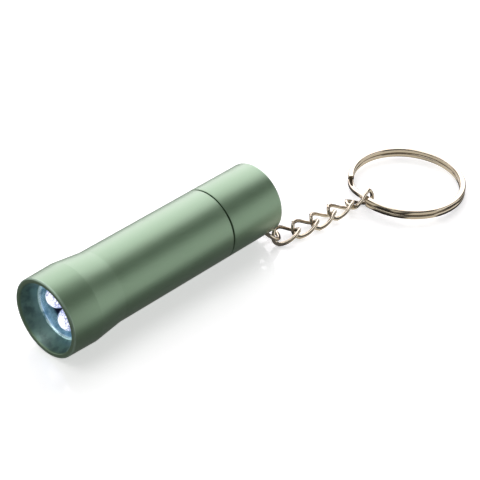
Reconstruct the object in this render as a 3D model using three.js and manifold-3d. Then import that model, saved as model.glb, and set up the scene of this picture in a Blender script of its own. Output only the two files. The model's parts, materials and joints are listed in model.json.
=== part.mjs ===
// Keychain flashlight: a turned aluminium torch with three LEDs and a screwed tail cap, with a
// short twisted chain and a double-wound split ring. Millimetres, +Z up, +X from the lamp to the
// ring. The torch lies on its side on z = 0: the rim of the head touches the surface and the tail
// rests on the small ring that hangs from its rim. The origin is the middle of the base of the
// whole object's bounding box.
import * as THREE from 'three';
import { mergeVertices } from 'three/addons/utils/BufferGeometryUtils.js';
import Module from 'manifold-3d';

const wasm = await Module();
wasm.setup();

// ---- Driving dimensions ----

// torch, along its own axis from the front rim
const LENGTH = 60;
const TUBE_R = 8.1;
const HEAD_R = 8.8;
const HEAD_BACK_R = 8.95; // the head swells a little before the cone
const HEAD_BACK_X = 7.3;
const CONE_BACK_X = 14.3;
const PARTING_X = 45.3;
const PARTING_GAP = 0.3;
const EDGE = 0.25; // small broken edge on turned parts
const TAIL_RAISE = 1.3; // height of the tail's underside above the surface

// lamp recess and seat
const RIM_INNER_R = 7.8;
const RECESS_DEPTH = 3.65;
const SEAT_R = 6.6;
const SEAT_BACK_X = 13;
const BORE_R = 6.2;

// spigot, seal and thread at the joint of barrel and cap
const SPIGOT_R = 7.2;
const SPIGOT_END_X = 49.3;
const GROOVE_R = 6.75;
const GROOVE = [45.9, 46.9];
const SEAL_R = 7.05;
const SEAL_SECTION_R = 0.27;
const SEAL_BORE_R = 7.4;
const THREAD_BORE_R = 7.3;

// LEDs in a touching triangle
const LED_R = 2.5;
const LED_TIP_X = 3.45;
const LED_BACK_X = 11.8;
const LED_CIRCLE_R = 3;
const LED_TURN = 18; // degrees from +Y towards +Z to the first LED
const LEAD_HALF_PITCH = 1.27;
const LEAD_WIDTH = 0.45;
const BOARD = [12.1, 13.1];

// cells
const CELL_R = 5.8;
const CELL_LENGTH = 5.4;
const CELLS_X = 15;
const CELL_COUNT = 4;

// tail cap, button and switch
const CAP_BORE_R = 6.9;
const LIP_X = 54.8;
const LIP_THICKNESS = 1;
const LIP_R = 4.8;
const TAIL_RECESS_R = 7;
const BUTTON_R = 4.6;
const RING_HOLE_R = 1.25;
const RING_HOLE_X = 57.35;
const RING_HOLE_TURN = 48; // degrees round the axis from straight down towards -Y

// jump ring, chain and split ring, as they lie on the surface
const JUMP_WIRE = 0.9;
const JUMP_R = 3;
const JUMP_CENTRE = [59.77, -4.31, 3.09];
const JUMP_NORMAL = [0.545, -0.277, 0.792];
const CHAIN_START = [59.6, -6.15, 1.85]; // middle of the first link's end wire, in the jump ring
const LINK_WIRE = 0.9;
const LINK_HALF_LENGTH = 3.25; // centre to the middle of the end wire
const LINK_HALF_WIDTH = 2;
const LINK_TWIST = 55; // degrees each way from the middle to the ends
const LINK_CLEARANCE = 0.25; // between hooked wires
const LINKS = [ // degrees from +X, degrees up, degrees of roll, height of the middle
  { heading: -11, pitch: -2, roll: 18, height: 1.8 },
  { heading: -8, pitch: 0, roll: 8, height: 1.65 },
  { heading: -4, pitch: 0, roll: -2, height: 1.53 },
  { heading: -10, pitch: 1, roll: -12, height: 1.72 },
  { heading: -13, pitch: 5.6, roll: -49, height: 2.13 },
];
const LAST_LINK_TO_RING = 0.84; // last link's centre to the middle of the split ring's section
const SPLIT_RING_R = 13.35;
const SPLIT_WIDTH = 1.3;
const SPLIT_COIL = 1.05;
const SPLIT_GAP = 0.08;
const SPLIT_BEARING = -10; // degrees from +X, last link to the ring's centre
const SPLIT_LIFT = 1.76; // height of the ring's middle plane at the last link
const SPLIT_STEP = 155.5; // degrees round the ring to the middle of its step
const SPLIT_STEP_HALF = 19;

const FACETS = 32;
const FINE_FACETS = 16;

const { clamp, degToRad: degrees, lerp, smoothstep } = THREE.MathUtils;
const tilt = Math.asin((TAIL_RAISE + TUBE_R - HEAD_BACK_R) / (LENGTH - HEAD_BACK_X));

// ---- Shapes ----

// A turned solid round X. The outline is [x, radius] points that either start and end on the
// axis or go once round a ring's section.
function turned(outline, segments = FACETS) {
  const points = outline.map(([x, r]) => new THREE.Vector2(r, x));
  if (THREE.ShapeUtils.area(points) < 0) points.reverse();
  if (points[0].x > 0) points.push(points[0].clone());
  const geometry = new THREE.LatheGeometry(points, segments, Math.PI / segments);
  return geometry.rotateZ(-Math.PI / 2);
}

function toSolid(geometry) {
  const bare = geometry.clone();
  bare.deleteAttribute('normal');
  bare.deleteAttribute('uv');
  const merged = mergeVertices(bare, 1e-4);
  const index = merged.index.array;
  const triangles = [];
  for (let i = 0; i < index.length; i += 3) {
    const [a, b, c] = index.slice(i, i + 3);
    if (a !== b && b !== c && c !== a) triangles.push(a, b, c);
  }
  return new wasm.Manifold(new wasm.Mesh({
    numProp: 3,
    vertProperties: new Float32Array(merged.attributes.position.array),
    triVerts: new Uint32Array(triangles),
  }));
}

function toGeometry(solid) {
  const mesh = solid.getMesh();
  const geometry = new THREE.BufferGeometry();
  geometry.setAttribute('position', new THREE.BufferAttribute(mesh.vertProperties, 3));
  geometry.setIndex(new THREE.BufferAttribute(mesh.triVerts, 1));
  geometry.computeVertexNormals();
  return geometry;
}

function cut(geometry, cutters) {
  return toGeometry(cutters.reduce((solid, c) => solid.subtract(toSolid(c)), toSolid(geometry)));
}

function join(geometry, additions) {
  return toGeometry(additions.reduce((solid, a) => solid.add(toSolid(a)), toSolid(geometry)));
}

// A rod along X between two stations, at a place in the Y-Z plane.
function rod(x0, x1, radius, y, z, segments = FINE_FACETS) {
  const geometry = new THREE.CylinderGeometry(radius, radius, x1 - x0, segments);
  return geometry.rotateZ(-Math.PI / 2).translate((x0 + x1) / 2, y, z);
}

// An open wire along a curve, with a section given by its half sizes and cut corners.
function wire(curve, halfHeight, halfWidth, corner, steps) {
  const section = new THREE.Shape();
  section.moveTo(halfHeight, -halfWidth + corner);
  section.lineTo(halfHeight, halfWidth - corner);
  section.lineTo(halfHeight - corner, halfWidth);
  section.lineTo(-halfHeight + corner, halfWidth);
  section.lineTo(-halfHeight, halfWidth - corner);
  section.lineTo(-halfHeight, -halfWidth + corner);
  section.lineTo(-halfHeight + corner, -halfWidth);
  section.lineTo(halfHeight - corner, -halfWidth);
  return new THREE.ExtrudeGeometry(section, { steps, extrudePath: curve, bevelEnabled: false });
}

// A conical coil spring round X.
class Coil extends THREE.Curve {
  constructor(x0, x1, r0, r1, turns) {
    super();
    Object.assign(this, { x0, x1, r0, r1, turns });
  }

  getPoint(t, target = new THREE.Vector3()) {
    const angle = 2 * Math.PI * this.turns * t;
    const r = lerp(this.r0, this.r1, t);
    return target.set(
      lerp(this.x0, this.x1, t), r * Math.cos(angle), r * Math.sin(angle));
  }
}

// The closed centre line of a twisted chain link, long in X: round ends and slightly bowed sides.
class TwistedLoop extends THREE.Curve {
  getPoint(t, target = new THREE.Vector3()) {
    const angle = 2 * Math.PI * t;
    const along = (LINK_HALF_LENGTH - LINK_HALF_WIDTH) * clamp(2 * Math.cos(angle), -1, 1)
      + LINK_HALF_WIDTH * Math.cos(angle);
    const across = LINK_HALF_WIDTH * Math.sin(angle);
    const twist = -degrees(LINK_TWIST) * (along / LINK_HALF_LENGTH);
    return target.set(along, across * Math.cos(twist), across * Math.sin(twist));
  }
}

// The split ring's centre line: a lower turn, a step up and an upper turn.
class DoubleTurn extends THREE.Curve {
  getPoint(t, target = new THREE.Vector3()) {
    const end = 4 * Math.PI - degrees(2 * SPLIT_STEP_HALF + 4);
    const angle = lerp(0, end, t);
    const stepStart = 2 * Math.PI - degrees(2 * SPLIT_STEP_HALF + 2);
    const climb = smoothstep(angle, stepStart, stepStart + degrees(2 * SPLIT_STEP_HALF));
    const level = (SPLIT_COIL + SPLIT_GAP) * (climb - 0.5);
    const place = angle + degrees(SPLIT_STEP + SPLIT_STEP_HALF + 2);
    const r = SPLIT_RING_R - SPLIT_WIDTH / 2;
    return target.set(r * Math.cos(place), r * Math.sin(place), level);
  }
}

// ---- Materials ----

const finishes = {
  anodised: { color: 0x7d9a78, roughness: 0.42, metalness: 0.85 },
  nickel: { color: 0xb9aea3, roughness: 0.18, metalness: 1 },
  plated: { color: 0xb9dfe6, roughness: 0.12, metalness: 0.8 },
  epoxy: { color: 0xe6e6ff, roughness: 0.08, metalness: 0 },
  board: { color: 0x2f5b3a, roughness: 0.6, metalness: 0 },
  brass: { color: 0xc2a14d, roughness: 0.3, metalness: 1 },
  steel: { color: 0xc4c6c8, roughness: 0.25, metalness: 1 },
  sleeve: { color: 0xdfe2e0, roughness: 0.5, metalness: 0 },
  black: { color: 0x1c1e1e, roughness: 0.6, metalness: 0 },
};

function piece(name, geometry, finish) {
  const mesh = new THREE.Mesh(geometry, new THREE.MeshStandardMaterial(finishes[finish]));
  mesh.name = name;
  return mesh;
}

// ---- Barrel and lamp ----

function barrel() {
  const shoulder = PARTING_X - PARTING_GAP / 2;
  return turned([
    [0, RIM_INNER_R], [0, HEAD_R - EDGE], [EDGE, HEAD_R], [HEAD_BACK_X, HEAD_BACK_R],
    [CONE_BACK_X, TUBE_R], [shoulder - EDGE / 2, TUBE_R], [shoulder, TUBE_R - EDGE / 2],
    [shoulder, SPIGOT_R], [GROOVE[0], SPIGOT_R], [GROOVE[0], GROOVE_R], [GROOVE[1], GROOVE_R],
    [GROOVE[1], SPIGOT_R], [SPIGOT_END_X - EDGE, SPIGOT_R], [SPIGOT_END_X, SPIGOT_R - EDGE],
    [SPIGOT_END_X, BORE_R], [SEAT_BACK_X, BORE_R], [SEAT_BACK_X, SEAT_R], [RECESS_DEPTH, SEAT_R],
  ]);
}

function ledPlaces() {
  return [0, 1, 2].map((i) => {
    const turn = degrees(LED_TURN + 120 * i);
    return { y: LED_CIRCLE_R * Math.cos(turn), z: LED_CIRCLE_R * Math.sin(turn) };
  });
}

function leadPlaces({ y, z }) {
  return [-LEAD_HALF_PITCH, LEAD_HALF_PITCH].map((offset) => ({ y: y + offset, z }));
}

function ledHolder() {
  const outer = SEAT_R - 0.08;
  const inner = outer - 0.42;
  const front = RECESS_DEPTH + 0.05;
  const back = SEAT_BACK_X - 0.2;
  const plate = [7, 9.6];
  const cup = turned([
    [plate[0], 0], [plate[0], inner], [front, inner], [front, outer],
    [back, outer], [back, inner], [plate[1], inner], [plate[1], 0],
  ]);
  return cut(cup, ledPlaces().map(({ y, z }) => rod(plate[0] - 1, plate[1] + 1, LED_R + 0.1, y, z)));
}

function led(place) {
  const shoulder = LED_TIP_X + LED_R;
  const dome = [0, 20, 40, 60, 75].map((a) => [
    shoulder - LED_R * Math.cos(degrees(a)), LED_R * Math.sin(degrees(a))]);
  const body = turned([...dome, [shoulder, LED_R], [LED_BACK_X, LED_R], [LED_BACK_X, 0]], FINE_FACETS);
  body.translate(0, place.y, place.z);
  const lead = new THREE.BoxGeometry(BOARD[1] + 1.1 - LED_BACK_X, LEAD_WIDTH, LEAD_WIDTH);
  const middle = (LED_BACK_X - 0.5 + BOARD[1] + 0.6) / 2;
  return join(body, leadPlaces(place).map(({ y, z }) => lead.clone().translate(middle, y, z)));
}

function ledBoard() {
  const disc = turned([[BOARD[0], 0], [BOARD[0], 6], [BOARD[1], 6], [BOARD[1], 0]]);
  const holes = ledPlaces().flatMap(leadPlaces);
  return cut(disc, holes.map(({ y, z }) => rod(BOARD[0] - 1, BOARD[1] + 1, 0.42, y, z, 8)));
}

function frontContact() {
  const base = BOARD[1] + 0.1;
  return turned([
    [base, 0], [base, 0.9], [base + 0.4, 0.9], [CELLS_X - 0.7, 0.9], [CELLS_X - 0.7, 2.4],
    [CELLS_X - 0.3, 2.4], [CELLS_X - 0.1, 1.6], [CELLS_X - 0.1, 0],
  ], FINE_FACETS);
}

function lampUnit() {
  const unit = new THREE.Group();
  unit.add(piece('led_holder', ledHolder(), 'plated'));
  ledPlaces().forEach((place, i) => unit.add(piece(`led_${i + 1}`, led(place), 'epoxy')));
  unit.add(piece('led_board', ledBoard(), 'board'));
  unit.add(piece('front_contact', frontContact(), 'brass'));
  return unit;
}

function oRing() {
  const ring = new THREE.TorusGeometry(SEAL_R, SEAL_SECTION_R, 8, FACETS);
  return ring.rotateY(Math.PI / 2).translate((GROOVE[0] + GROOVE[1]) / 2, 0, 0);
}

// ---- Cells ----

function cell(start) {
  const end = start + CELL_LENGTH - 0.1;
  return turned([
    [start, 0], [start, CELL_R - 0.2], [start + 0.2, CELL_R], [end - 0.6, CELL_R],
    [end - 0.3, CELL_R - 0.3], [end - 0.3, 4.9], [end, 4.7], [end, 0],
  ], FINE_FACETS);
}

function cells() {
  const stack = new THREE.Group();
  for (let i = 0; i < CELL_COUNT; i += 1) {
    stack.add(piece(`battery_${i + 1}`, cell(CELLS_X + i * CELL_LENGTH), 'steel'));
  }
  const sleeve = [CELLS_X - 0.6, CELLS_X + CELL_COUNT * CELL_LENGTH + 0.4];
  stack.add(piece('battery_sleeve', turned([
    [sleeve[0], CELL_R + 0.1], [sleeve[0], BORE_R - 0.1],
    [sleeve[1], BORE_R - 0.1], [sleeve[1], CELL_R + 0.1],
  ]), 'sleeve'));
  return stack;
}

// ---- Tail cap, switch and button ----

function tailCap() {
  const front = PARTING_X + PARTING_GAP / 2;
  const sealEnd = GROOVE[1] + 0.3;
  const threadEnd = SPIGOT_END_X + 0.7;
  const lipBack = LIP_X + LIP_THICKNESS;
  const shell = turned([
    [front, SEAL_BORE_R], [front, TUBE_R - EDGE / 2], [front + EDGE / 2, TUBE_R],
    [LENGTH - 0.4, TUBE_R], [LENGTH - 0.12, TUBE_R - 0.12], [LENGTH, TUBE_R - 0.4],
    [LENGTH, TAIL_RECESS_R], [lipBack, TAIL_RECESS_R], [lipBack, LIP_R], [LIP_X, LIP_R],
    [LIP_X, CAP_BORE_R], [threadEnd, CAP_BORE_R], [threadEnd, THREAD_BORE_R],
    [sealEnd, THREAD_BORE_R], [sealEnd, SEAL_BORE_R],
  ]);
  const hole = new THREE.CylinderGeometry(RING_HOLE_R, RING_HOLE_R, 4, FINE_FACETS);
  hole.translate(0, -TUBE_R, 0).rotateX(degrees(90 - RING_HOLE_TURN)).translate(RING_HOLE_X, 0, 0);
  return cut(shell, [hole]);
}

function pushButton() {
  const flange = LIP_X - 0.2;
  const top = 57.8;
  const round = 1.2;
  const dome = [75, 60, 45, 30, 15].map((a) => [
    top - round + round * Math.cos(degrees(a)), BUTTON_R - round + round * Math.sin(degrees(a))]);
  return turned([
    [52.6, 0], [52.6, 2.2], [flange - 0.9, 2.2], [flange - 0.9, 6.6], [flange, 6.6],
    [flange, BUTTON_R], [top - round, BUTTON_R], ...dome, [top, 0],
  ]);
}

function switchUnit() {
  const unit = new THREE.Group();
  unit.add(piece('tail_spring', wire(new Coil(36.9, 45.7, 2.8, 4.8, 5), 0.25, 0.25, 0.14, 70), 'steel'));
  unit.add(piece('switch_contact', turned([[46.1, 0], [46.1, 5.3], [46.6, 5.3], [46.6, 0]],
    FINE_FACETS), 'brass'));
  unit.add(piece('switch_housing', turned([
    [46.7, 0], [46.7, 6], [50.1, 6], [50.1, 6.75], [51.2, 6.75], [51.2, 3.8], [47.7, 3.8], [47.7, 0],
  ]), 'black'));
  unit.add(piece('switch_spring', wire(new Coil(48, 50.1, 2.4, 2.4, 2.5), 0.17, 0.17, 0.1, 36), 'steel'));
  unit.add(piece('switch_cover', turned([[51.3, 2.8], [51.3, 6.75], [52, 6.75], [52, 2.8]]), 'black'));
  unit.add(piece('retaining_ring', turned([[49.45, 6.2], [49.45, 7.1], [49.95, 7.1], [49.95, 6.2]]),
    'brass'));
  return unit;
}

function switchPlunger() {
  return turned([
    [49.3, 0], [49.3, 1.6], [50.4, 1.6], [50.4, 3.4], [51.2, 3.4], [51.2, 2.6], [52.5, 2.6], [52.5, 0],
  ]);
}

function torch() {
  const group = new THREE.Group();
  group.add(piece('barrel', barrel(), 'anodised'));
  group.add(lampUnit());
  group.add(piece('o_ring', oRing(), 'black'));
  group.add(cells());
  group.add(piece('tail_cap', tailCap(), 'anodised'));
  group.add(switchUnit());
  group.add(piece('switch_plunger', switchPlunger(), 'black'));
  group.add(piece('push_button', pushButton(), 'black'));
  group.position.z = HEAD_BACK_R * Math.cos(Math.PI / FACETS) - HEAD_BACK_X * Math.sin(tilt);
  group.rotation.y = -tilt;
  return group;
}

// ---- Jump ring, chain and split ring ----

function jumpRing() {
  const ring = piece('jump_ring', new THREE.TorusGeometry(JUMP_R, JUMP_WIRE / 2, 8, 28), 'nickel');
  ring.position.set(...JUMP_CENTRE);
  ring.quaternion.setFromUnitVectors(
    new THREE.Vector3(0, 0, 1), new THREE.Vector3(...JUMP_NORMAL).normalize());
  return ring;
}

function heading(angle) {
  return new THREE.Vector3(Math.cos(degrees(angle)), Math.sin(degrees(angle)), 0);
}

function linkCentres() {
  const reach = LINK_HALF_LENGTH - (LINK_WIRE + LINK_CLEARANCE) / 2;
  const directions = LINKS.map((link) => heading(link.heading));
  const start = new THREE.Vector3(...CHAIN_START);
  const centres = [start.addScaledVector(directions[0], LINK_HALF_LENGTH)];
  for (let i = 1; i < LINKS.length; i += 1) {
    const centre = centres[i - 1].clone();
    centre.addScaledVector(directions[i - 1], reach).addScaledVector(directions[i], reach);
    centres.push(centre);
  }
  return centres.map((centre, i) => centre.setZ(LINKS[i].height));
}

function chain() {
  const group = new THREE.Group();
  const loop = new THREE.TubeGeometry(new TwistedLoop(), 32, LINK_WIRE / 2, 7, true);
  linkCentres().forEach((centre, i) => {
    const link = piece(`chain_link_${i + 1}`, loop.clone(), 'nickel');
    const { roll, pitch, heading: turn } = LINKS[i];
    link.position.copy(centre);
    link.rotation.set(degrees(roll), -degrees(pitch), degrees(turn), 'ZYX');
    group.add(link);
  });
  return group;
}

function splitRing() {
  const meanR = SPLIT_RING_R - SPLIT_WIDTH / 2;
  const bearing = heading(SPLIT_BEARING);
  const coil = wire(new DoubleTurn(), SPLIT_COIL / 2, SPLIT_WIDTH / 2, 0.25, 84);
  const ring = piece('split_ring', coil, 'nickel');
  const lowest = SPLIT_COIL + SPLIT_GAP / 2 + 0.03;
  const slope = Math.asin((SPLIT_LIFT - lowest) / (2 * meanR));
  const centre = linkCentres().at(-1).addScaledVector(heading(LINKS.at(-1).heading), LAST_LINK_TO_RING);
  ring.position.copy(centre.addScaledVector(bearing, meanR * Math.cos(slope)));
  ring.position.z = lowest + meanR * Math.sin(slope);
  const hinge = new THREE.Vector3(-bearing.y, bearing.x, 0);
  ring.quaternion.setFromAxisAngle(hinge, slope);
  return ring;
}

// ---- Whole object, moved so that the origin is the middle of its base ----

const object = new THREE.Group();
object.add(torch(), jumpRing(), chain(), splitRing());
const box = new THREE.Box3().setFromObject(object, true);
object.position.set(-(box.min.x + box.max.x) / 2, -(box.min.y + box.max.y) / 2, -box.min.z);
const flashlight = new THREE.Group();
flashlight.add(object);

export default flashlight;
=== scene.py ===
"""The looks of a keychain flashlight: a green anodised torch, its lit lamp, a chain and a split ring."""

import json
import math

import bpy
import numpy as np
from mathutils import Matrix, Quaternion, Vector


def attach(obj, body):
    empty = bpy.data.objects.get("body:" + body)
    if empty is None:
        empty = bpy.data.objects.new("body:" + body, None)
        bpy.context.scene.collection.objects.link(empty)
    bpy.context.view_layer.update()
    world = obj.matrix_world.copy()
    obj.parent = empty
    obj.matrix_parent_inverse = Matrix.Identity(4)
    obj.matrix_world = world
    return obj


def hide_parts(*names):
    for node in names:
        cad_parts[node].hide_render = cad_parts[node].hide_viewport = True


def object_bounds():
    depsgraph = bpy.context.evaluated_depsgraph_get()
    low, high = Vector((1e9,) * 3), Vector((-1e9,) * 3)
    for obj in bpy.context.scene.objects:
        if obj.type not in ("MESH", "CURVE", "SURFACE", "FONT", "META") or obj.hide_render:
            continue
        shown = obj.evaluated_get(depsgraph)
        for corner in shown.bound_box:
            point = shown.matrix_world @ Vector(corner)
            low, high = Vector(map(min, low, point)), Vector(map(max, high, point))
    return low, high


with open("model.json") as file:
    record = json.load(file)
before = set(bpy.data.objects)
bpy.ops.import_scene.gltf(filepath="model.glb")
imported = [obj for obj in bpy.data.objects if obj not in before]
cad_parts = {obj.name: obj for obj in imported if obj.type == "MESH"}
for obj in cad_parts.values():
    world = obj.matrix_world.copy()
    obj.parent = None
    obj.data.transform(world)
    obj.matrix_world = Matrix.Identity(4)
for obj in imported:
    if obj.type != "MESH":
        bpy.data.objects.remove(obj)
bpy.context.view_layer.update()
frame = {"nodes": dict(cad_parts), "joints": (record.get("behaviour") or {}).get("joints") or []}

MM = 0.001

# The torch, in millimetres along its own axis from the front rim.
LENGTH = 60
CAP_JOINT_X = 48
TUBE_R = 8.1
HEAD_R = 8.8
HEAD_BACK_R = 8.95
HEAD_BACK_X = 7.3
CONE_BACK_X = 14.3
RIM_INNER_R = 7.8
RECESS_DEPTH = 3.65
SEAT_R = 6.6
SEAT_BACK_X = 13
BORE_R = 6.2
SHOULDER_X = 45.15
CAP_FRONT_X = 45.45
CAP_SEAM_X = 54.5  # an extra ring of edges half way down the cap
SPIGOT_R = 7.2
SPIGOT_END_X = 49.3
GROOVE = (45.9, 46.9)
GROOVE_R = 6.75
SEAL_R = 7.05
SEAL_SECTION_R = 0.27
THREAD_START_X = 47.25
THREAD_DEPTH = 0.25
CAP_BORE_R = 6.9
SEAL_BORE_R = 7.4
THREAD_BORE_R = 7.3
LIP = (54.8, 55.8)
LIP_R = 4.8
TAIL_RECESS_R = 7
RING_HOLE_X = 57.35
RING_HOLE_R = 1.25
RING_HOLE_TURN = 48  # degrees from straight down towards -Y

# The lamp.
LED_R = 2.5
LED_TIP_X = 3.45
LED_BACK_X = 11.8
LED_CIRCLE_R = 3
LED_TURN = 18  # degrees from +Y towards +Z to the first LED
LEAD_HALF_PITCH = 1.27
LEAD_WIDTH = 0.45
LEADS = (11.3, 13.7)
PLATE = (7.0, 9.6)
BEZEL_FRONT_X = 3.7
BEZEL_BACK_X = 12.8
BEZEL_BORE_R = 6.1

# The button.
BUTTON_R = 4.6
BUTTON_TOP_X = 57.8
BUTTON_FLANGE = (53.7, 54.6)
BUTTON_FLANGE_R = 6.6
BUTTON_STEM_X = 52.6
BUTTON_STEM_R = 2.2

# Wires of the chain and rings.
WIRE_R = 0.45
JUMP_R = 3.0
LINK_HALF_LENGTH = 3.25
LINK_HALF_WIDTH = 2.0
LINK_TWIST = 110  # degrees from end to end
SPLIT_MEAN_R = 12.7
SPLIT_SECTION = (1.3, 1.05)
SPLIT_LEVELS_APART = 1.13
SPLIT_STEP = 155.5  # degrees round the ring to the middle of its step
SPLIT_STEP_HALF = 19

# The view.
VIEW_TURN = math.radians(-47.3)
VIEW_RISE = math.radians(36.4)
VIEW_ROLL = math.radians(2.4)
VIEW_DISTANCE = 0.4034
VIEW_AIM_X = 55.7
VIEW_LENS = 138.9

# The white card under the chain and ring.
REFLECTOR_MIDDLE = (36, -6)
REFLECTOR_SIZE = (62, 44)
REFLECTOR_LIFT = 0.02


def joint(name):
    return next(j for j in frame["joints"] if j["name"] == name)


def upright(forward, across):
    """A turn that takes X to forward and Y as near as it can to across."""
    forward = forward.normalized()
    up = forward.cross(across).normalized()
    return Matrix((forward, up.cross(forward), up)).transposed().to_4x4()


AXIS = Vector(joint("cap_unscrew")["axis"]).normalized()
FRONT = Vector(joint("cap_unscrew")["pos_m"]) - AXIS * CAP_JOINT_X * MM
TORCH = Matrix.Translation(FRONT) @ upright(AXIS, Vector((0, 1, 0)))


# ---- Shaping ----


def deselect():
    bpy.ops.object.select_all(action="DESELECT")


def select(test):
    """In edit mode, selects the vertices whose place passes the test."""
    bpy.ops.object.mode_set(mode="OBJECT")
    mesh = bpy.context.object.data
    mesh.polygons.foreach_set("select", [False] * len(mesh.polygons))
    mesh.edges.foreach_set("select", [False] * len(mesh.edges))
    mesh.vertices.foreach_set("select", [bool(test(v.co / MM)) for v in mesh.vertices])
    bpy.ops.object.mode_set(mode="EDIT")
    bpy.ops.mesh.select_mode(type="VERT")


def apply_modifier(kind, **settings):
    bpy.ops.object.modifier_add(type=kind)
    modifier = bpy.context.object.modifiers[-1]
    for setting, value in settings.items():
        setattr(modifier, setting, value)
    bpy.ops.object.modifier_apply(modifier=modifier.name)


def softened(outline, steps=5):
    """The outline with an arc at each corner that has a radius as its third number."""
    points = []
    for i, (x, r, *radius) in enumerate(outline):
        corner = Vector((x, r))
        if not radius:
            points.append(corner)
            continue
        back = (Vector(outline[i - 1][:2]) - corner).normalized()
        ahead = (Vector(outline[(i + 1) % len(outline)][:2]) - corner).normalized()
        half = back.angle(ahead) / 2
        centre = corner + (back + ahead).normalized() * radius[0] / math.sin(half)
        reach = radius[0] / math.tan(half)
        start = corner + back * reach - centre
        end = corner + ahead * reach - centre
        for k in range(steps + 1):
            points.append(centre + start.lerp(end, k / steps).normalized() * radius[0])
    return points


def turned(outline, ring=True, steps=128):
    """A solid turned round X, from (along, radius) corners that go round a section or axis to axis."""
    points = softened(outline)
    if ring:
        points.append(points[0])
    deselect()
    x, r = points[0] * MM
    bpy.ops.mesh.primitive_plane_add(size=MM, location=(0, 0, 0))
    bpy.ops.object.mode_set(mode="EDIT")
    bpy.ops.mesh.merge(type="CENTER")
    bpy.ops.transform.translate(value=(x, 0, r))
    for here, there in zip(points, points[1:]):
        along, out = (there - here) * MM
        bpy.ops.mesh.extrude_vertices_move(TRANSFORM_OT_translate={"value": (along, 0, out)})
    bpy.ops.mesh.select_all(action="SELECT")
    bpy.ops.mesh.spin(steps=steps, angle=2 * math.pi, center=(0, 0, 0), axis=(1, 0, 0))
    close_up()
    return bpy.context.object


def close_up():
    bpy.ops.mesh.select_all(action="SELECT")
    bpy.ops.mesh.remove_doubles(threshold=0.002 * MM)
    bpy.ops.mesh.normals_make_consistent(inside=False)
    bpy.ops.object.mode_set(mode="OBJECT")


def hoop(radius, wire_radius, gap, start, steps=96):
    """A round wire bent round Z and cut flat at its two ends, which nearly meet."""
    deselect()
    bpy.ops.mesh.primitive_circle_add(
        vertices=20, radius=wire_radius * MM, fill_type="NGON",
        location=(radius * MM, 0, 0), rotation=(math.pi / 2, 0, 0))
    bpy.ops.object.transform_apply()
    bpy.ops.object.mode_set(mode="EDIT")
    bpy.ops.mesh.select_all(action="SELECT")
    bpy.ops.mesh.spin(
        steps=steps, angle=2 * math.pi - gap, center=(0, 0, 0), axis=(0, 0, 1))
    bpy.ops.mesh.select_all(action="SELECT")
    bpy.ops.transform.rotate(value=-start, orient_axis="Z", center_override=(0, 0, 0))
    close_up()
    return bpy.context.object


def copied(pattern):
    deselect()
    pattern.select_set(True)
    bpy.context.view_layer.objects.active = pattern
    bpy.ops.object.duplicate()
    return bpy.context.object


def cleared(piece):
    deselect()
    piece.select_set(True)
    bpy.ops.object.delete()


def combined(piece, other, operation):
    """Cuts the other solid out of the piece or joins it on, and clears it away."""
    bpy.context.view_layer.objects.active = piece
    apply_modifier("BOOLEAN", object=other, operation=operation, solver="EXACT")
    cleared(other)


def drilled(piece, radius, depth, middle, along):
    deselect()
    bpy.ops.mesh.primitive_cylinder_add(
        vertices=64, radius=radius * MM, depth=depth * MM, location=middle * MM,
        rotation=along.to_track_quat("Z", "X").to_euler())
    combined(piece, bpy.context.object, "DIFFERENCE")


def put(piece, place):
    """Moves a piece to its place and leaves that place in its mesh."""
    deselect()
    piece.select_set(True)
    bpy.context.view_layer.objects.active = piece
    piece.matrix_world = place
    bpy.ops.object.transform_apply()
    return piece


def finish_piece(piece, name, stands_for, body, finish, smooth=30):
    deselect()
    piece.select_set(True)
    bpy.context.view_layer.objects.active = piece
    bpy.ops.object.shade_smooth_by_angle(angle=math.radians(smooth))
    piece.name = name
    piece.data.name = name
    piece.data.materials.clear()
    piece.data.materials.append(finish)
    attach(piece, body)
    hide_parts(*stands_for)
    return piece


# ---- Finishes ----


class Channel:
    """One output socket, so that shader maths reads as arithmetic."""

    def __init__(self, finish, socket):
        self.finish = finish
        self.socket = socket

    def maths(self, operation, *values):
        return self.finish.node("ShaderNodeMath", {"operation": operation}, dict(enumerate(values)))

    def __add__(self, other):
        return self.maths("ADD", self, other)

    def __radd__(self, other):
        return self.maths("ADD", other, self)

    def __mul__(self, other):
        return self.maths("MULTIPLY", self, other)

    def __rmul__(self, other):
        return self.maths("MULTIPLY", other, self)

    def band(self, low, high):
        """0 below low, 1 above high and a smooth rise between; low may be the greater."""
        sockets = {"Value": self, "From Min": low, "From Max": high}
        return self.finish.node("ShaderNodeMapRange", {"interpolation_type": "SMOOTHSTEP"}, sockets)


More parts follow.
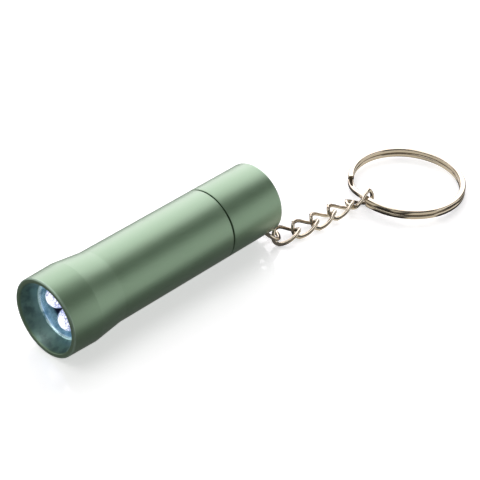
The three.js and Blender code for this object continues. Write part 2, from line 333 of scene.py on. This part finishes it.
class Finish:
    """A material being made."""

    def __init__(self, name, **constants):
        self.material = bpy.data.materials.new(name)
        self.material.use_nodes = True
        self.tree = self.material.node_tree
        self.shader = self.tree.nodes["Principled BSDF"]
        for socket, value in constants.items():
            name = socket.replace("_", " ").title().replace("Ior", "IOR")
            self.shader.inputs[name].default_value = value

    def node(self, kind, settings, sockets, output=0):
        made = self.tree.nodes.new(kind)
        for setting, value in settings.items():
            if setting == "stops":
                self.set_stops(made.color_ramp, value)
            else:
                setattr(made, setting, value)
        for socket, value in sockets.items():
            self.feed(made.inputs[socket], value)
        return Channel(self, made.outputs[output])

    def set_stops(self, ramp, stops):
        while len(ramp.elements) < len(stops):
            ramp.elements.new(1)
        for element, (position, colour) in zip(ramp.elements, stops):
            element.position = position
            element.color = (*colour, 1)

    def feed(self, socket, value):
        if isinstance(value, Channel):
            self.tree.links.new(value.socket, socket)
        elif isinstance(value, tuple) and len(value) == 3 and len(socket.default_value) == 4:
            socket.default_value = (*value, 1)
        else:
            socket.default_value = value

    def surface(self, **channels):
        for socket, value in channels.items():
            self.feed(self.shader.inputs[socket.replace("_", " ").title()], value)

    def places(self, origin=None):
        """Object coordinates, or coordinates turned to the torch with X along it from the front rim."""
        place = self.node("ShaderNodeTexCoord", {}, {}, "Object")
        if origin is None:
            return place
        inverse = origin.inverted()
        sockets = {
            "Vector": place, "Location": inverse.to_translation(), "Rotation": tuple(inverse.to_euler())}
        return self.node("ShaderNodeMapping", {}, sockets)

    def part(self, place, letter):
        return self.node("ShaderNodeSeparateXYZ", {}, {0: place}, letter)

    def noise(self, place, scale, detail=2, roughness=0.5):
        sockets = {"Vector": place, "Scale": scale, "Detail": detail, "Roughness": roughness}
        return self.node("ShaderNodeTexNoise", {}, sockets)

    def mix(self, share, first, second):
        return self.node("ShaderNodeMix", {"data_type": "RGBA"}, {0: share, 6: first, 7: second}, 2)

    def bump(self, height, distance, strength=1.0):
        sockets = {"Height": height, "Distance": distance, "Strength": strength}
        self.surface(normal=self.node("ShaderNodeBump", {}, sockets))

    def from_axis(self, place):
        """The distance from the torch's axis."""
        flat = self.node("ShaderNodeVectorMath", {"operation": "MULTIPLY"}, {0: place, 1: (0, 1, 1)})
        return self.node("ShaderNodeVectorMath", {"operation": "LENGTH"}, {0: flat}, "Value")


def anodised_green():
    finish = Finish("anodised_green", metallic=0.9, coat_weight=1.0, coat_roughness=0.38, coat_ior=1.6)
    place = finish.places(TORCH)
    grain = finish.noise(place, 5200, 2)
    cloud = finish.noise(place, 220, 3)
    along = finish.part(place, "X")
    radius = finish.from_axis(place)
    rim = along.band(0.5 * MM, 0.1 * MM) * radius.band(8.35 * MM, 8.75 * MM)
    tail = along.band((LENGTH - 0.6) * MM, (LENGTH - 0.1) * MM)
    # Paler green at the front rim and the tail edge: edge wear at both, and on the rim also a painted
    # highlight.
    wear_and_rim_sheen = (rim + tail) * (0.55 + 0.45 * finish.noise(place, 900, 3))
    # The lamp recess inside the mouth gets a darker, blotchy green: painted shade.
    mouth = along.band(0.1 * MM, 0.5 * MM) * along.band(4.2 * MM, 4.0 * MM)
    recess = mouth * radius.band(8.0 * MM, 7.85 * MM)
    colour = finish.mix(cloud, (0.165, 0.275, 0.16), (0.195, 0.31, 0.19))
    # Painted shade for the recess, dark teal-green in blotches.
    recess_painted_shade = finish.mix(finish.noise(place, 420, 3).band(0.35, 0.6), (0.09, 0.17, 0.155), (0.2, 0.35, 0.3))
    colour = finish.mix(recess, colour, recess_painted_shade)
    # Mixes in the paler green of the edge wear and of the rim's painted highlight.
    colour = finish.mix(wear_and_rim_sheen * 0.9, colour, (0.46, 0.62, 0.5))
    finish.surface(base_color=colour, roughness=0.4 + 0.08 * cloud + 0.06 * grain)
    finish.bump(grain, 0.02 * MM, 0.45)
    return finish.material


def mirror_bezel():
    # The bezel is given emission in its own colour: a painted glow, since it is no lamp.
    finish = Finish("mirror_bezel", metallic=0.9, emission_strength=0.3)
    place = finish.places(TORCH)
    along = finish.part(place, "X")
    swirl_and_reflection = finish.noise(place, 700, 3)
    edge = along.band(4.35 * MM, 4.0 * MM)
    inside = along.band(6.0 * MM, 6.7 * MM)
    # The teal streaks are a painted reflection in the mirror and the paler front lip a painted highlight;
    # the cup goes near black towards the plate.
    painted_reflection_streaks = swirl_and_reflection.band(0.35, 0.65)
    colour = finish.mix(painted_reflection_streaks, (0.16, 0.34, 0.42), (0.34, 0.6, 0.7))
    colour = finish.mix(edge * swirl_and_reflection.band(0.25, 0.5), colour, (0.62, 0.86, 0.92))
    colour = finish.mix(inside, colour, (0.012, 0.016, 0.04))
    # The emission paints a glow in the bezel's colour.
    finish.surface(base_color=colour, emission_color=colour, roughness=0.2 + 0.12 * swirl_and_reflection)
    finish.bump(swirl_and_reflection, 0.02 * MM, 0.2)
    return finish.material


def lit_led():
    finish = Finish("lit_led", roughness=0.08, emission_strength=1.0, coat_weight=1.0, coat_roughness=0.03)
    place = finish.places(TORCH)
    along = finish.part(place, "X")
    sparkle = finish.node(
        "ShaderNodeTexVoronoi", {}, {"Vector": place, "Scale": 2100}, "Distance")
    glow = (along + 1.6 * MM * sparkle).band(5.3 * MM, 4.2 * MM)
    side = along.band(5.5 * MM, 6.0 * MM)
    edge = finish.mix(sparkle.band(0.15, 0.6), (0.74, 0.77, 0.96), (0.26, 0.28, 0.48))
    light = finish.mix(glow, edge, (1.0, 1.0, 1.0))
    light = finish.mix(side, light, (0.05, 0.07, 0.12))
    base = finish.mix(side, finish.mix(glow, (0.25, 0.27, 0.42), (0.9, 0.9, 1.0)), (0.12, 0.16, 0.24))
    finish.surface(base_color=base, emission_color=light)
    return finish.material


def nickel_plate():
    finish = Finish("nickel_plate", metallic=1.0)
    place = finish.places()
    cloud = finish.noise(place, 380, 3)
    scratch = finish.noise(place, 3800, 2)
    colour = finish.mix(cloud, (0.55, 0.475, 0.37), (0.66, 0.585, 0.475))
    finish.surface(base_color=colour, roughness=0.04 + 0.08 * cloud + 0.04 * scratch)
    finish.bump(scratch, 0.004 * MM, 0.3)
    return finish.material


def black_rubber():
    finish = Finish("black_rubber", specular_ior_level=0.35)
    place = finish.places(TORCH)
    grain = finish.noise(place, 4200, 3)
    dust = finish.noise(place, 600, 4)
    rings = finish.node(
        "ShaderNodeTexWave", {"wave_type": "RINGS", "rings_direction": "X"},
        {"Vector": place, "Scale": 420, "Distortion": 0.0})
    colour = finish.mix(dust, (0.012, 0.013, 0.014), (0.03, 0.031, 0.033))
    finish.surface(base_color=colour, roughness=0.55 + 0.2 * grain)
    finish.bump(grain + 0.6 * rings, 0.02 * MM, 0.4)
    return finish.material


def moulded_black():
    finish = Finish("moulded_black")
    grain = finish.noise(finish.places(TORCH), 3000, 3)
    finish.surface(
        base_color=finish.mix(grain, (0.018, 0.018, 0.019), (0.035, 0.035, 0.037)),
        roughness=0.4 + 0.2 * grain)
    finish.bump(grain, 0.01 * MM, 0.3)
    return finish.material


def board_green():
    finish = Finish("board_green")
    place = finish.places(TORCH)
    weave = finish.node("ShaderNodeTexChecker", {}, {"Vector": place, "Scale": 2200}, "Fac")
    mottle = finish.noise(place, 900, 3)
    colour = finish.mix(weave, (0.03, 0.13, 0.05), (0.035, 0.16, 0.06))
    colour = finish.mix(mottle.band(0.62, 0.7), colour, (0.55, 0.42, 0.16))
    finish.surface(base_color=colour, roughness=0.35 + 0.2 * mottle)
    return finish.material


def contact_brass():
    finish = Finish("contact_brass", metallic=1.0)
    tarnish = finish.noise(finish.places(TORCH), 800, 4)
    finish.surface(
        base_color=finish.mix(tarnish, (0.78, 0.6, 0.28), (0.5, 0.35, 0.15)),
        roughness=0.2 + 0.2 * tarnish)
    return finish.material


def spring_steel():
    finish = Finish("spring_steel", metallic=1.0)
    draw = finish.noise(finish.places(TORCH), 2500, 3)
    finish.surface(
        base_color=finish.mix(draw, (0.55, 0.56, 0.57), (0.68, 0.69, 0.7)),
        roughness=0.18 + 0.15 * draw)
    return finish.material


def cell_can():
    finish = Finish("cell_can", metallic=1.0)
    place = finish.places(TORCH)
    brushed = finish.node(
        "ShaderNodeMapping", {}, {"Vector": place, "Scale": (0.1, 1, 1)})
    streak = finish.noise(brushed, 3000, 3)
    finish.surface(
        base_color=finish.mix(streak, (0.6, 0.6, 0.6), (0.74, 0.74, 0.73)),
        roughness=0.16 + 0.16 * streak)
    return finish.material


def card_sleeve():
    finish = Finish("card_sleeve")
    fibre = finish.noise(finish.places(TORCH), 1800, 5)
    finish.surface(
        base_color=finish.mix(fibre, (0.7, 0.71, 0.69), (0.82, 0.83, 0.81)),
        roughness=0.6 + 0.2 * fibre)
    finish.bump(fibre, 0.02 * MM, 0.3)
    return finish.material


# ---- Torch ----


def place_on_torch(piece):
    return put(piece, TORCH)


def barrel_shell(finish):
    piece = turned([
        (0, RIM_INNER_R, 0.15), (0, HEAD_R, 0.28), (HEAD_BACK_X, HEAD_BACK_R, 1.5),
        (CONE_BACK_X, TUBE_R, 4),
        (SHOULDER_X, TUBE_R, 0.14), (SHOULDER_X, SPIGOT_R),
        (GROOVE[0], SPIGOT_R, 0.05), (GROOVE[0], GROOVE_R), (GROOVE[1], GROOVE_R),
        (GROOVE[1], SPIGOT_R, 0.05), (THREAD_START_X, SPIGOT_R),
        (THREAD_START_X, SPIGOT_R - THREAD_DEPTH), (SPIGOT_END_X, SPIGOT_R - THREAD_DEPTH, 0.1),
        (SPIGOT_END_X, BORE_R, 0.1), (SEAT_BACK_X, BORE_R), (SEAT_BACK_X, SEAT_R),
        (RECESS_DEPTH, SEAT_R, 0.06),
    ])
    finish_piece(place_on_torch(piece), "barrel_shell", ["barrel"], "barrel", finish)


def tail_cap_shell(finish):
    seal_end = GROOVE[1] + 0.3
    thread_end = SPIGOT_END_X + 0.7
    piece = turned([
        (CAP_FRONT_X, SEAL_BORE_R, 0.1), (CAP_FRONT_X, TUBE_R, 0.14), (CAP_SEAM_X, TUBE_R),
        (LENGTH, TUBE_R, 0.4),
        (LENGTH, TAIL_RECESS_R, 0.15), (LIP[1], TAIL_RECESS_R, 0.2), (LIP[1], LIP_R, 0.12),
        (LIP[0], LIP_R), (LIP[0], CAP_BORE_R), (thread_end, CAP_BORE_R),
        (thread_end, THREAD_BORE_R), (seal_end, THREAD_BORE_R), (seal_end, SEAL_BORE_R),
    ])
    drill_ring_hole(piece)
    finish_piece(place_on_torch(piece), "tail_cap_shell", ["tail_cap"], "tail_cap", finish)


def drill_ring_hole(cap):
    """Drills the radial hole for the jump ring through the cap's rim."""
    turn = math.radians(RING_HOLE_TURN)
    outward = Vector((0, -math.sin(turn), -math.cos(turn)))
    drilled(cap, RING_HOLE_R, 4, Vector((RING_HOLE_X, 0, 0)) + outward * TUBE_R, outward)


def seal_ring(finish):
    deselect()
    bpy.ops.mesh.primitive_torus_add(
        major_radius=SEAL_R * MM, minor_radius=SEAL_SECTION_R * MM, major_segments=128, minor_segments=20,
        location=(sum(GROOVE) / 2 * MM, 0, 0), rotation=(0, math.pi / 2, 0))
    piece = bpy.context.object
    bpy.ops.object.transform_apply()
    finish_piece(place_on_torch(piece), "seal_ring", ["o_ring"], "barrel", finish)


def led_places():
    for i in range(3):
        turn = math.radians(LED_TURN + 120 * i)
        yield i + 1, LED_CIRCLE_R * math.cos(turn), LED_CIRCLE_R * math.sin(turn)


def bezel(finish):
    outer = SEAT_R - 0.08
    piece = turned([
        (PLATE[0], 0), (PLATE[0], 6.0, 0.3), (3.95, 6.05, 0.05),
        (BEZEL_FRONT_X, 6.2, 0.05), (BEZEL_FRONT_X, outer, 0.05),
        (BEZEL_BACK_X, outer), (BEZEL_BACK_X, BEZEL_BORE_R), (PLATE[1], BEZEL_BORE_R), (PLATE[1], 0),
    ], ring=False)
    for _, y, z in led_places():
        drilled(piece, LED_R + 0.1, 8, Vector((sum(PLATE) / 2, y, z)), Vector((1, 0, 0)))
    finish_piece(place_on_torch(piece), "bezel", ["led_holder"], "barrel", finish)


def led_pattern():
    """One LED on the torch's axis, with its two leads."""
    shoulder = LED_TIP_X + LED_R
    dome = [
        (shoulder - LED_R * math.cos(a), LED_R * math.sin(a))
        for a in (math.radians(9 * k) for k in range(10))]
    outline = [*dome, (shoulder + 1, LED_R), (LED_BACK_X, LED_R), (LED_BACK_X, 0)]
    piece = turned(outline, ring=False, steps=48)
    bpy.ops.object.mode_set(mode="EDIT")
    for side in (-1, 1):
        bpy.ops.mesh.primitive_cube_add(
            size=1, location=(sum(LEADS) / 2 * MM, side * LEAD_HALF_PITCH * MM, 0),
            scale=((LEADS[1] - LEADS[0]) * MM, LEAD_WIDTH * MM, LEAD_WIDTH * MM))
    bpy.ops.object.mode_set(mode="OBJECT")
    return piece


def leds(finish):
    pattern = led_pattern()
    for number, y, z in led_places():
        piece = copied(pattern)
        put(piece, TORCH @ Matrix.Translation(Vector((0, y, z)) * MM))
        finish_piece(piece, f"led_{number}_lens", [f"led_{number}"], "barrel", finish, smooth=40)
    cleared(pattern)


def button_cap(finish):
    piece = turned([
        (BUTTON_STEM_X, 0), (BUTTON_STEM_X, BUTTON_STEM_R), (BUTTON_FLANGE[0], BUTTON_STEM_R),
        (BUTTON_FLANGE[0], BUTTON_FLANGE_R, 0.2), (BUTTON_FLANGE[1], BUTTON_FLANGE_R, 0.2),
        (BUTTON_FLANGE[1], BUTTON_R, 0.15),
        (BUTTON_TOP_X, BUTTON_R, 1.1), (BUTTON_TOP_X, 2.9, 0.15), (BUTTON_TOP_X - 0.18, 2.6, 0.15),
        (BUTTON_TOP_X - 0.3, 0),
    ], ring=False)
    finish_piece(place_on_torch(piece), "button_cap", ["push_button"], "button", finish)


# ---- Rings and chain ----


def axes_of(node):
    """A link's or ring's middle and its axes, longest first, from the places of its points."""
    mesh = frame["nodes"][node].data
    points = np.array([v.co for v in mesh.vertices])
    middle = points.mean(0)
    _, directions = np.linalg.eigh(np.cov((points - middle).T))
    return Vector(middle), [Vector(directions[:, k]) for k in (2, 1, 0)]


def jump_ring_wire(finish):
    middle, (_, _, normal) = axes_of("jump_ring")
    first_link, _ = axes_of("chain_link_1")
    towards = first_link - middle
    towards -= normal * towards.dot(normal)
    piece = hoop(JUMP_R, WIRE_R, gap=0.02, start=math.pi * 0.8)
    apply_modifier("BEVEL", width=0.05 * MM, segments=2, limit_method="ANGLE", angle_limit=math.radians(60))
    turn = upright(towards, normal.cross(towards))
    put(piece, Matrix.Translation(middle) @ turn)
    finish_piece(piece, "jump_ring_wire", ["jump_ring"], "jump_ring", finish, smooth=50)


def link_wire():
    """One link, long in X about the origin, with its seam in the middle of a side; chain_links twists it.
    """
    stretch = LINK_HALF_LENGTH - LINK_HALF_WIDTH
    piece = hoop(LINK_HALF_WIDTH, WIRE_R, gap=0.008, start=math.pi / 2 + 0.004)
    bpy.ops.object.mode_set(mode="EDIT")
    for side in (-1, 1):
        select(lambda p: p.x * side >= 0.5 * math.hypot(p.x, p.y))
        bpy.ops.transform.translate(value=(side * stretch * MM, 0, 0))
    select(lambda p: abs(p.x) < 0.5 * math.hypot(p.x, p.y))
    bpy.ops.transform.resize(
        value=(1 + 2 * stretch / LINK_HALF_WIDTH, 1, 1), center_override=(0, 0, 0))
    bpy.ops.object.mode_set(mode="OBJECT")
    return piece


def chain_links(finish):
    pattern = link_wire()
    length = pattern.dimensions.x
    twist = math.radians(LINK_TWIST) * length / (2 * LINK_HALF_LENGTH * MM)
    apply_modifier("SIMPLE_DEFORM", deform_method="TWIST", deform_axis="X", angle=-twist)
    for number in range(1, 6):
        node = f"chain_link_{number}"
        middle, (along, across, _) = axes_of(node)
        piece = copied(pattern)
        put(piece, Matrix.Translation(middle) @ upright(along, across))
        finish_piece(piece, f"link_{number}_wire", [node], node, finish, smooth=50)
    cleared(pattern)


def split_ring_wire(finish):
    """Two turns of flat wire drawn round Z, with one step up between them."""
    width, height = SPLIT_SECTION
    deselect()
    bpy.ops.mesh.primitive_plane_add(size=MM, location=(0, 0, 0))
    bpy.ops.object.mode_set(mode="EDIT")
    bpy.ops.mesh.select_all(action="SELECT")
    bpy.ops.transform.resize(value=(width, height, 1))
    bpy.ops.mesh.bevel(affect="VERTICES", offset=0.32 * MM, segments=5)
    bpy.ops.mesh.select_all(action="SELECT")
    bpy.ops.transform.rotate(value=math.pi / 2, orient_axis="X", center_override=(0, 0, 0))
    bpy.ops.transform.translate(value=(SPLIT_MEAN_R * MM, 0, -SPLIT_LEVELS_APART / 2 * MM))
    bpy.ops.transform.rotate(
        value=-math.radians(SPLIT_STEP + SPLIT_STEP_HALF + 2), orient_axis="Z", center_override=(0, 0, 0))
    step = math.radians(2)
    total = 4 * math.pi - math.radians(2 * SPLIT_STEP_HALF + 4)
    step_start = 2 * math.pi - math.radians(2 * SPLIT_STEP_HALF + 2)
    step_length = math.radians(2 * SPLIT_STEP_HALF)
    steps = round(total / step)
    level = 0
    for k in range(1, steps + 1):
        share = min(max((total * k / steps - step_start) / step_length, 0), 1)
        rise = SPLIT_LEVELS_APART * share * share * (3 - 2 * share)
        bpy.ops.mesh.extrude_region_move(TRANSFORM_OT_translate={"value": (0, 0, (rise - level) * MM)})
        bpy.ops.transform.rotate(value=-total / steps, orient_axis="Z", center_override=(0, 0, 0))
        level = rise
    close_up()
    piece = bpy.context.object
    apply_modifier("BEVEL", width=0.07 * MM, segments=2, limit_method="ANGLE", angle_limit=math.radians(60))
    swing = joint("split_ring_swing")
    normal = Vector(swing["axis"]).normalized()
    bearing = Vector((normal.x, normal.y, 0)).normalized()
    outward = (bearing - normal * bearing.dot(normal)).normalized()
    middle = Vector(swing["pos_m"]) + outward * SPLIT_MEAN_R * MM
    turn = Vector((0, 0, 1)).rotation_difference(normal).to_matrix().to_4x4()
    put(piece, Matrix.Translation(middle) @ turn)
    finish_piece(piece, "split_ring_wire", ["split_ring"], "split_ring", finish, smooth=40)


# ---- Studio ----


def floor(low):
    deselect()
    bpy.ops.mesh.primitive_plane_add(size=6, location=(0, 0, low))
    piece = bpy.context.object
    piece.name = "floor"
    finish = Finish(
        "floor_white", roughness=0.1, emission_strength=0.55, specular_ior_level=0.6,
        base_color=(0.8, 0.8, 0.8, 1), emission_color=(1, 1, 1, 1))
    piece.data.materials.append(finish.material)
    piece.visible_glossy = False


def reflector(low):
    """A white card with dark folds under the chain and ring, which shows only in reflections."""
    deselect()
    x, y = REFLECTOR_MIDDLE
    width, depth = REFLECTOR_SIZE
    bpy.ops.mesh.primitive_plane_add(size=1, location=(x * MM, y * MM, low + REFLECTOR_LIFT * MM))
    piece = bpy.context.object
    piece.name = "reflector"
    piece.scale = (width * MM, depth * MM, 1)
    bpy.ops.object.transform_apply()
    finish = Finish("reflector_white", emission_strength=1.0, base_color=(0, 0, 0, 1))
    folds = finish.noise(finish.places(), 75, 1).band(0.46, 0.54)
    finish.surface(emission_color=finish.mix(folds, (0.02, 0.02, 0.02), (0.78, 0.75, 0.68)))
    piece.data.materials.append(finish.material)
    piece.visible_camera = False
    piece.visible_diffuse = False
    piece.visible_shadow = False


def softbox(name, direction, distance, size, power, aim, colour=(1, 1, 1)):
    deselect()
    offset = Vector(direction).normalized() * distance
    bpy.ops.object.light_add(type="AREA", location=aim + offset)
    light = bpy.context.object
    light.name = name
    light.rotation_euler = (-offset).to_track_quat("-Z", "Y").to_euler()
    light.data.shape = "RECTANGLE"
    light.data.size, light.data.size_y = size
    light.data.energy = power
    light.data.color = colour


def studio(low):
    scene = bpy.context.scene
    scene.view_settings.view_transform = "Standard"
    scene.world = bpy.data.worlds.new("studio")
    scene.world.use_nodes = True
    background = scene.world.node_tree.nodes["Background"]
    background.inputs["Color"].default_value = (1, 1, 1, 1)
    background.inputs["Strength"].default_value = 0.14
    aim = Vector((0, 0, 0))
    softbox("back_softbox", (0.59, 0.64, 0.56), 0.7, (0.9, 1.0), 6.9, aim, (1, 0.95, 1))
    softbox("front_fill", (0.59, -0.79, 0.1), 0.7, (0.7, 0.65), 1.6, aim)
    softbox("side_fill", (-0.7, 0.6, 0.14), 0.8, (0.8, 0.6), 1.8, aim)
    softbox("top_softbox", (-0.3, 0.1, 1), 0.8, (0.5, 0.5), 1.5, aim)
    floor(low)
    reflector(low)


def camera(low):
    aim = Vector((FRONT.x + VIEW_AIM_X * MM, FRONT.y, low))
    level = math.cos(VIEW_RISE)
    back = Vector((math.sin(VIEW_TURN) * level, -math.cos(VIEW_TURN) * level, math.sin(VIEW_RISE)))
    deselect()
    bpy.ops.object.camera_add(location=aim + back * VIEW_DISTANCE)
    made = bpy.context.object
    facing = (-back).to_track_quat("-Z", "Y") @ Quaternion((0, 0, 1), VIEW_ROLL)
    made.rotation_euler = facing.to_euler()
    made.data.lens = VIEW_LENS
    made.data.clip_start = 0.01
    bpy.context.scene.camera = made


def paint(finish, *names):
    """Gives CAD nodes that keep their shape their finish."""
    for name in names:
        materials = frame["nodes"][name].data.materials
        materials.clear()
        materials.append(finish)


def inner_pieces():
    paint(board_green(), "led_board")
    paint(contact_brass(), "front_contact", "switch_contact", "retaining_ring")
    paint(spring_steel(), "tail_spring", "switch_spring")
    paint(moulded_black(), "switch_housing", "switch_cover", "switch_plunger")
    paint(cell_can(), "battery_1", "battery_2", "battery_3", "battery_4")
    paint(card_sleeve(), "battery_sleeve")


green = anodised_green()
rubber = black_rubber()
nickel = nickel_plate()
barrel_shell(green)
bezel(mirror_bezel())
leds(lit_led())
seal_ring(rubber)
tail_cap_shell(green)
button_cap(rubber)
jump_ring_wire(nickel)
chain_links(nickel)
split_ring_wire(nickel)
inner_pieces()

visual_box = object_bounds()
studio(visual_box[0].z)
camera(0)
